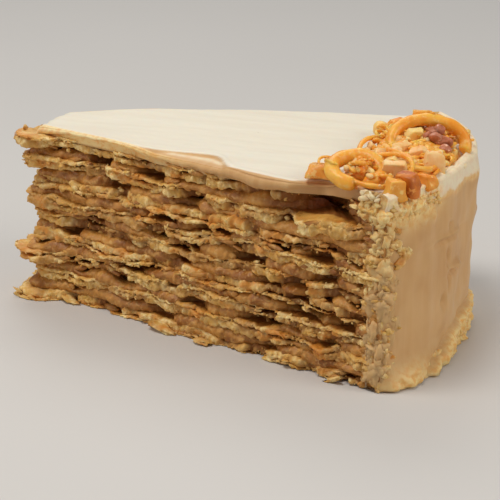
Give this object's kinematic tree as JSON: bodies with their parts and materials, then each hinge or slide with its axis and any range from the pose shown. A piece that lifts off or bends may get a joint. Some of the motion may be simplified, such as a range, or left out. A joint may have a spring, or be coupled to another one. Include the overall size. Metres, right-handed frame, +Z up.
{
  "type": "peanut butter cake slice",
  "caption": "Wedge slice of a flaky many-sheet cake with brown filling, smooth icing over top and round side, and a heap of crisp noodles and nuts",
  "frame": {"origin": "middle of the bounding box's bottom face, on the surface that the slice stands on", "axes": "+X from the slice's tip to its iced round side, -Y the front cut face, +Z up"},
  "size_m": [0.1412, 0.1042, 0.0663],
  "materials": {
    "pastry": "dry, flaky, baked golden",
    "filling": "moist, soft sheen",
    "icing": "smooth cream, satin",
    "topping": "glossy caramel"
  },
  "bodies": {
    "root": {"pastry_1": "pastry", "pastry_2": "pastry", "pastry_3": "pastry", "pastry_4": "pastry", "pastry_5": "pastry", "pastry_6": "pastry", "pastry_7": "pastry", "pastry_8": "pastry", "pastry_9": "pastry", "filling_1": "filling", "filling_2": "filling", "filling_3": "filling", "filling_4": "filling", "filling_5": "filling", "filling_6": "filling", "filling_7": "filling", "filling_8": "filling", "icing": "icing", "topping": "topping"}
  },
  "joints": []
}
